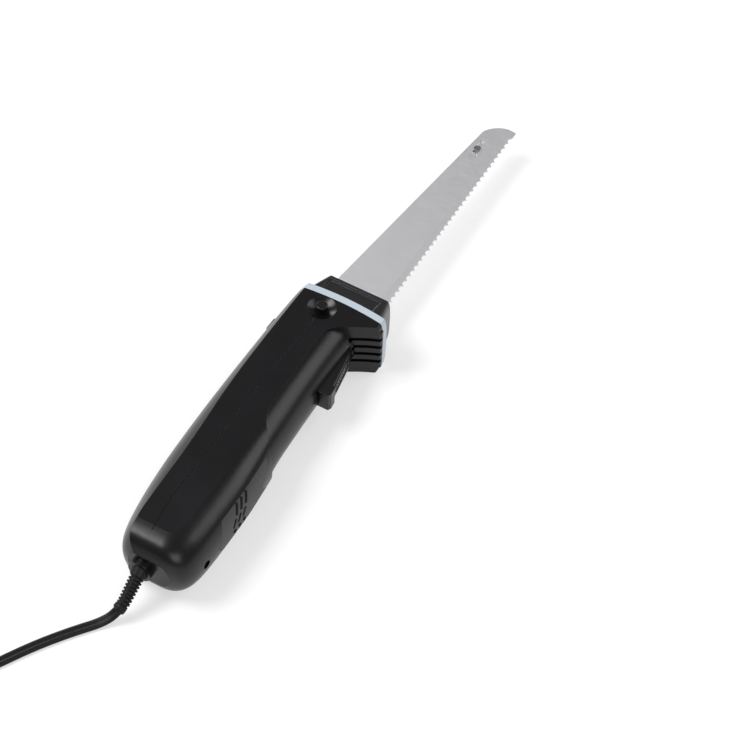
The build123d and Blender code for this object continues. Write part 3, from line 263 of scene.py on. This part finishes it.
# A tube along a line: each row of sections is (sideways, up) about the line, +Z kept upwards.
def tubeAlong(name, line, sections, material):
    line = np.asarray(line)
    ahead = np.gradient(line, axis=0)
    ahead /= np.linalg.norm(ahead, axis=1, keepdims=True)
    side = np.cross(ahead, [0.0, 0.0, 1.0])
    side /= np.linalg.norm(side, axis=1, keepdims=True)
    up = np.cross(side, ahead)
    points = line[:, None] + sections[..., :1] * side[:, None] + sections[..., 1:] * up[:, None]
    return meshObject(name, points.reshape(-1, 3), gridFaces(len(line), sections.shape[1]), material)


# The cord: out of the tail, down to the surface, along it and into a coil of two layers.
# Lie and layer are the cord's middle above the surface and the step between layers, coilTurn is in degrees.
cord = {
    "exit": (-3.0, -3.6, 0.0),
    "toFloor": [(-14.5, -3.4, -7.3), (-24.0, -3.2, -13.4), (-33.0, 2.6, -21.5)],
    "onFloor": [(-50.2, 16.4), (-71.5, 30.9), (-98.7, 45.7)],
    "lie": 1.8, "layer": 3.6,
    "width": 6.9, "thickness": 3.5, "web": 0.8,
    "coilCentre": (-184.0, 41.0), "coilTurn": 61.4, "coilRadius": 50.0, "coilPitch": 7.4,
    "halfTurns": 11, "reverse": 7, "stepsPerHalfTurn": 6, "leadIn": 5.2, "approach": 33.2,
    "tail": 30.0, "plugAxis": 8.4, "pointsPerSpan": 6,
}
coilAngle = math.radians(cord["coilTurn"])
floorLevel = cord["lie"] - reference["halfWidth"]
plugLevel = cord["plugAxis"] - reference["halfWidth"]
lastSide = (-1) ** cord["halfTurns"]


# A place about the coil's own middle, turned and moved to where the coil lies.
def fromCoil(x, y):
    return (cord["coilCentre"][0] + x * math.cos(coilAngle) - y * math.sin(coilAngle),
            cord["coilCentre"][1] + x * math.sin(coilAngle) + y * math.cos(coilAngle))


# How far out each crossing lies: one pitch in at every full turn, and back out between them on top.
def crossingReach():
    inward = [k // 2 if k <= cord["reverse"] else (2 * cord["reverse"] - k) // 2 - 0.5
              for k in range(cord["halfTurns"] + 1)]
    return [cord["coilRadius"] - cord["coilPitch"] * n for n in inward]


# Each half turn is x = s(c + r cos pi t), y = s r sin pi t, from one crossing's reach to the next one's.
def coilPoints():
    reach = crossingReach()
    widen = 1 / math.cos(math.pi / 2 / cord["stepsPerHalfTurn"])
    flat = [(reach[0], -cord["approach"], floorLevel), (reach[0] * widen, -cord["leadIn"], floorLevel)]
    for k in range(cord["halfTurns"]):
        sign = (-1) ** k
        for j in range(cord["stepsPerHalfTurn"]):
            t = j / cord["stepsPerHalfTurn"]
            climb = smoothStep(0, 1, t) if k == cord["reverse"] - 1 else float(k >= cord["reverse"])
            centre, radius = (reach[k] - reach[k + 1]) / 2, (reach[k] + reach[k + 1]) / 2 * widen
            flat.append((sign * (centre + radius * math.cos(math.pi * t)),
                         sign * radius * math.sin(math.pi * t), floorLevel + climb * cord["layer"]))
    end, top = lastSide * reach[-1], floorLevel + cord["layer"]
    flat += [(end * widen, 0, top), (end, lastSide * cord["tail"] / 3, top),
             (end, lastSide * cord["tail"] * 2 / 3, plugLevel), (end, lastSide * cord["tail"], plugLevel)]
    return [(*fromCoil(x, y), z) for x, y, z in flat]


# A smooth line by the given points, as Blender's own spline evaluates it.
def splineLine(name, points):
    data = bpy.data.curves.new(name, "CURVE")
    data.dimensions = "3D"
    spline = data.splines.new("NURBS")
    spline.points.add(len(points) - 1)
    for point, place in zip(spline.points, points):
        point.co = (*place, 1.0)
    spline.order_u = 3
    spline.use_endpoint_u = True
    spline.resolution_u = cord["pointsPerSpan"]
    holder = bpy.data.objects.new(name, data)
    mesh = bpy.data.meshes.new_from_object(holder)
    line = np.array([v.co[:] for v in mesh.vertices])
    bpy.data.meshes.remove(mesh)
    bpy.data.objects.remove(holder)
    bpy.data.curves.remove(data)
    return line


# Two round cores side by side with a web between them, seen along the cord.
def flexSection(around=32):
    angle = circleAngles(around)
    radius, half = cord["thickness"] / 2, (cord["width"] - cord["thickness"]) / 2
    across = (half + radius) * np.cos(angle)
    core = np.sqrt(np.maximum(radius**2 - (np.abs(across) - half) ** 2, 0))
    height = np.maximum(core, np.where(np.abs(across) < half, cord["web"], 0)) * np.sign(np.sin(angle))
    return np.stack([across, height], axis=1) * mm


cordRoute = [cord["exit"], *cord["toFloor"],
             *[(x, y, floorLevel) for x, y in cord["onFloor"]], *coilPoints()]
cordLine = splineLine("cordRoute", [rowPoint(*p) for p in cordRoute])
section = flexSection()
flex = tubeAlong("flexCord", cordLine, np.repeat(section[None], len(cordLine), axis=0), cordVinyl)
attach(flex, "housing")
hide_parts("cord_run", "cord_coil")

# The strain relief: a collar, a ladder of slots offset from side to side, and an end band.
relief = {
    "length": 27.5, "collar": 3.2, "band": 3.0, "pitch": 2.35, "slotDepth": 1.0,
    "collarHalf": (5.6, 5.2), "rootHalf": (4.8, 4.4), "tipHalf": (4.2, 3.5), "bandHalf": (4.4, 3.7),
    "behind": 3.0, "step": 0.4, "rim": 0.8, "margin": (0.5, 0.9),
    "slotEdges": (0.05, 0.75), "webEdges": (0.16, 0.34),   # shares of the sine and of the half width
    "rings": 200, "around": 64,
}


# The line's points at given distances along it, carried on straight behind its start.
def pointsAt(line, distances):
    travelled = np.concatenate([[0], np.cumsum(np.linalg.norm(np.diff(line, axis=0), axis=1))])
    ahead = (line[1] - line[0]) / np.linalg.norm(line[1] - line[0])
    inside = np.stack([np.interp(distances, travelled, line[:, k]) for k in range(3)], axis=1)
    return inside + np.minimum(distances, 0)[:, None] * ahead


# Each ring is an ellipse whose two half widths change along the sleeve, less the slots' depth.
def strainRelief():
    along = np.linspace(-relief["behind"], relief["length"], relief["rings"])
    angle = circleAngles(relief["around"])
    ladderStart, ladderEnd = relief["collar"], relief["length"] - relief["band"]
    taper = np.clip((along - ladderStart) / (ladderEnd - ladderStart), 0, 1)[:, None]
    root, tip = np.array(relief["rootHalf"]), np.array(relief["tipHalf"])
    half = root + (tip - root) * taper
    inCollar = smoothStep(ladderStart + relief["step"], ladderStart, along)[:, None]
    inBand = smoothStep(ladderEnd - relief["step"], ladderEnd, along)[:, None]
    half = (half + inCollar * (np.array(relief["collarHalf"]) - half)
            + inBand * (np.array(relief["bandHalf"]) - half))
    nearerEnd = np.minimum(along + relief["behind"], relief["length"] - along)
    half = half - rimInset(nearerEnd, relief["rim"])[:, None]
    # Slots: the upper part of a sine along the sleeve, half a pitch later on the other side,
    # and none on the webs above and below.
    side = np.sign(np.cos(angle))[None]
    phase = 2 * math.pi * (along[:, None] - ladderStart) / relief["pitch"] + np.where(side > 0, math.pi, 0)
    wave = smoothStep(*relief["slotEdges"], np.sin(phase))
    web = smoothStep(*relief["webEdges"], np.abs(np.cos(angle)))[None]
    near, far = relief["margin"]
    ladder = (smoothStep(ladderStart + near, ladderStart + far, along)
              * smoothStep(ladderEnd - near, ladderEnd - far, along))[:, None]
    depth = relief["slotDepth"] * wave * web * ladder
    sections = np.stack([(half[:, :1] - depth) * np.cos(angle),
                         (half[:, 1:] - depth) * np.sin(angle)], axis=-1)
    return tubeAlong("strainReliefSleeve", pointsAt(cordLine, along * mm), sections * mm, cordVinyl)


sleeve = strainRelief()
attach(sleeve, "housing")
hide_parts("strain_relief")
print("strain relief")

# The plug: a moulded body that swells from its neck, with finger ridges and a flat face.
# Shares are of its length, half width and half height.
plug = {
    "length": 34.0, "halfWidth": 12.5, "halfHeight": 8.4,
    "shares": [(0.0, 0.40, 0.55), (0.30, 0.48, 0.66), (0.50, 0.86, 0.90),
               (0.62, 1.0, 1.0), (1.0, 0.94, 0.92)],
    "smooth": 2.2, "smoothSteps": 9, "rim": 1.6, "squareness": 2.8,
    "ridges": (17.5, 29.5), "ridgePitch": 2.4, "ridgeDepth": 0.55, "ridgeFade": 2, "ridgeSides": (0.5, 0.8),
    "rings": 120, "around": 72,
}


# Each section is a superellipse: |y/w|^n + |z/h|^n = 1.
def plugBody():
    start = np.array([*fromCoil(lastSide * crossingReach()[-1], lastSide * cord["tail"]), plugLevel])
    ahead = np.array([-lastSide * math.sin(coilAngle), lastSide * math.cos(coilAngle), 0.0])
    along = np.linspace(0, plug["length"], plug["rings"])
    angle = circleAngles(plug["around"])
    station, *halves = np.array(plug["shares"]).T
    blur = np.linspace(-plug["smooth"], plug["smooth"], plug["smoothSteps"])
    wide, high = [np.mean([np.interp(along + b, station * plug["length"], half) for b in blur], axis=0)
                  for half in halves]
    inset = rimInset(np.minimum(along, plug["length"] - along), plug["rim"])
    low, top = plug["ridges"]
    window = (smoothStep(low, low + plug["ridgeFade"], along)
              * smoothStep(top, top - plug["ridgeFade"], along))
    wave = 0.5 - 0.5 * np.cos(2 * math.pi * (along - low) / plug["ridgePitch"])
    ridge = plug["ridgeDepth"] * window * wave
    halfWide = wide * plug["halfWidth"] - inset
    halfHigh = high * plug["halfHeight"] - inset
    power = 2 / plug["squareness"]
    across = halfWide[:, None] * signedPower(np.cos(angle), power)
    level = halfHigh[:, None] * signedPower(np.sin(angle), power)
    level = level - np.sign(level) * ridge[:, None] * smoothStep(*plug["ridgeSides"], np.abs(np.sin(angle)))
    line = rowPoints(start + along[:, None] * ahead)
    return tubeAlong("plugMoulding", line, np.stack([across, level], axis=-1) * mm, cordVinyl)


moulding = plugBody()
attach(moulding, "housing")
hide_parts("plug_body")
print("plug")

# The tie: a thin ribbed strap arched over the coil, with its buckle on top.
tie = {
    "middle": 38.9, "halfSpan": 15.6, "high": 8.0, "foot": 0.1, "squareness": 6.0,
    "thickness": 0.8, "halfWidth": 3.0, "cornerPowers": (0.25, 0.6),
    "ribDepth": 0.25, "ribSteps": 4, "ribbedShare": 0.8, "steps": 96, "around": 24,
    "buckle": (4.6, 3.9, 1.5), "buckleSquareness": 5.0, "buckleLift": 0.8, "poleGap": 0.02,
}


# Places about the coil's middle, with z above the surface, as points of the row frame.
def coilPlace(points):
    x, y = fromCoil(points[..., 0], points[..., 1])
    return np.stack([x - reference["x"], y - reference["y"], points[..., 2]], axis=-1) * mm


# The strap's line is the upper half of a superellipse, and its section a thin rounded rectangle.
def tieStrap():
    t = np.linspace(0, math.pi, tie["steps"])
    power = 2 / tie["squareness"]
    radial = signedPower(np.cos(t), power) * tie["halfSpan"]
    level = np.abs(np.sin(t)) ** power * (tie["high"] - tie["foot"]) + tie["foot"]
    line = np.stack([radial, level], axis=1)
    ahead = np.gradient(line, axis=0)
    ahead /= np.linalg.norm(ahead, axis=1, keepdims=True)
    outward = np.stack([ahead[:, 1], -ahead[:, 0]], axis=1)
    angle = circleAngles(tie["around"])
    acrossPower, thickPower = tie["cornerPowers"]
    across = signedPower(np.cos(angle), acrossPower) * tie["halfWidth"]
    thick = signedPower(np.sin(angle), thickPower) * tie["thickness"] / 2
    ribs = 1 + tie["ribDepth"] * np.sin(2 * math.pi * np.arange(tie["steps"]) / tie["ribSteps"])[:, None]
    offset = thick * np.where(np.abs(np.cos(angle)) < tie["ribbedShare"], ribs, 1)
    flat = line[:, None] + offset[..., None] * outward[:, None]
    points = np.stack([-tie["middle"] + flat[..., 0],
                       np.broadcast_to(across, flat.shape[:2]), flat[..., 1]], axis=-1)
    faces = gridFaces(tie["steps"], tie["around"])
    return meshObject("tieStrap", coilPlace(points).reshape(-1, 3), faces, buttonPlastic)


# The buckle is a superellipsoid: |x/a|^n + |y/b|^n + |z/c|^n = 1.
def tieBuckle(rings=24, around=32):
    polar = np.linspace(tie["poleGap"], math.pi - tie["poleGap"], rings)[:, None]
    angle = circleAngles(around)[None]
    ball = np.stack([np.sin(polar) * np.cos(angle), np.sin(polar) * np.sin(angle),
                     np.cos(polar) + 0 * angle], axis=-1)
    raw = signedPower(ball, 2 / tie["buckleSquareness"])
    points = raw * tie["buckle"] + (-tie["middle"], 0, tie["high"] + tie["buckle"][2] * tie["buckleLift"])
    faces = gridFaces(rings, around)
    return meshObject("tieBuckle", coilPlace(points).reshape(-1, 3), faces, buttonPlastic)


strap, buckle = tieStrap(), tieBuckle()
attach(strap, "housing")
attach(buckle, "housing")
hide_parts("cord_tie")
print("tie")

# The row of small raised grip dots inside the trigger's oval rim.
dots = {
    "front": (205.15, -29.65), "rear": (178.06, -34.04), "count": 7, "pitch": 2.7,
    "radius": 0.85, "height": 0.55, "sunk": 0.15, "shares": (0.999, 0.02), "rings": 8, "around": 20,
}


# Each dot is a dome: height h sqrt(1 - (r/R)^2) over the pad's face.
def gripDots():
    front, rear = np.array(dots["front"]), np.array(dots["rear"])
    along = (front - rear) / np.linalg.norm(front - rear)
    outward = np.array([along[1], -along[0]])
    middle = (front + rear) / 2
    share = np.linspace(*dots["shares"], dots["rings"])[:, None]
    angle = circleAngles(dots["around"])[None]
    u = dots["radius"] * share * np.cos(angle)
    w = dots["radius"] * share * np.sin(angle)
    lift = dots["height"] * np.sqrt(1 - share**2) + 0 * angle - dots["sunk"]
    fromMiddle = np.arange(dots["count"])[:, None] - (dots["count"] - 1) / 2
    centres = middle + along * dots["pitch"] * fromMiddle
    x = centres[:, :1, None] + u * along[0] + lift * outward[0]
    y = centres[:, 1:, None] + u * along[1] + lift * outward[1]
    places = np.stack([x, y, np.broadcast_to(w, x.shape)], axis=-1).reshape(-1, 3)
    oneDot = gridFaces(dots["rings"], dots["around"])
    faces = [[first + v for v in face] for first in range(0, len(places), w.size) for face in oneDot]
    return meshObject("triggerGripDots", rowPoints(places), faces, buttonPlastic)


grip = gripDots()
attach(grip, "trigger")
print("trigger dots")

# The return springs shorten with what presses them, towards their fixed ends; here each only gets a mesh of
# its own.
springs = [
    # node, joint, axis, fixed end (0 lowest, 1 highest), travel in mm
    ("release_spring", "release_press", 2, 0, 3.0),
    ("lock_spring", "lock_slide", 1, 0, 2.0),
    ("trigger_spring", "trigger_pull", 1, 1, 3.6),
]
for name, joint, axis, fixedEnd, travel in springs:
    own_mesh(nodes[name])
print("springs")

# Studio
camera = {
    "place": (-0.82413, -0.45921, 1.14957),   # metres
    "turn": (38.893, -1.8395, -60.059),       # degrees, XYZ
    "lens": 107.51,
    "sensor": 36.0,
    "farClip": 20,                            # metres
}
cameraData = bpy.data.cameras.new("camera")
cameraData.lens = camera["lens"]
cameraData.sensor_width = camera["sensor"]
cameraData.clip_end = camera["farClip"]
cameraObject = bpy.data.objects.new("camera", cameraData)
cameraObject.location = camera["place"]
cameraObject.rotation_euler = Euler([math.radians(a) for a in camera["turn"]])
bpy.context.scene.collection.objects.link(cameraObject)
bpy.context.scene.camera = cameraObject

# The floor glows a little under its white, so the knife's shadow stays as faint as in the photograph.
surround = {"size": 12, "colour": "#b4b4b4", "roughness": 0.9, "glow": 0.5, "worldLight": 0.3}
floorMaterial, floorShader = newMaterial("paleFloor")
floorShader.inputs["Base Color"].default_value = hexColour(surround["colour"])
floorShader.inputs["Roughness"].default_value = surround["roughness"]
floorShader.inputs["Emission Color"].default_value = (1, 1, 1, 1)
floorShader.inputs["Emission Strength"].default_value = surround["glow"]
bpy.ops.mesh.primitive_plane_add(size=surround["size"], location=(0, 0, 0))
floor = bpy.context.object
floor.name = "floor"
floor.data.materials.append(floorMaterial)

lamps = [
    # name, place and size in metres, watts
    ("overheadSoftbox", (-0.55, 1.3, 1.9), 1.2, 50.0),
    ("backWindow", (1.25, 1.75, 0.6), 0.9, 13.0),
    ("rightSoftbox", (1.1, -1.15, 1.3), 1.3, 15.0),
    ("cameraSide", (-1.6, -1.4, 1.6), 1.4, 20.0),
]
for name, place, size, watts in lamps:
    lamp = bpy.data.lights.new(name, "AREA")
    lamp.size = size
    lamp.energy = watts
    lampObject = bpy.data.objects.new(name, lamp)
    lampObject.location = place
    lampObject.rotation_euler = (-Vector(place)).to_track_quat("-Z", "Y").to_euler()
    bpy.context.scene.collection.objects.link(lampObject)

world = bpy.data.worlds.new("studio")
bpy.context.scene.world = world
world.use_nodes = True
background = world.node_tree.nodes["Background"]
background.inputs["Color"].default_value = (1, 1, 1, 1)
background.inputs["Strength"].default_value = surround["worldLight"]
bpy.context.scene.view_settings.view_transform = "Standard"
print("studio ready")
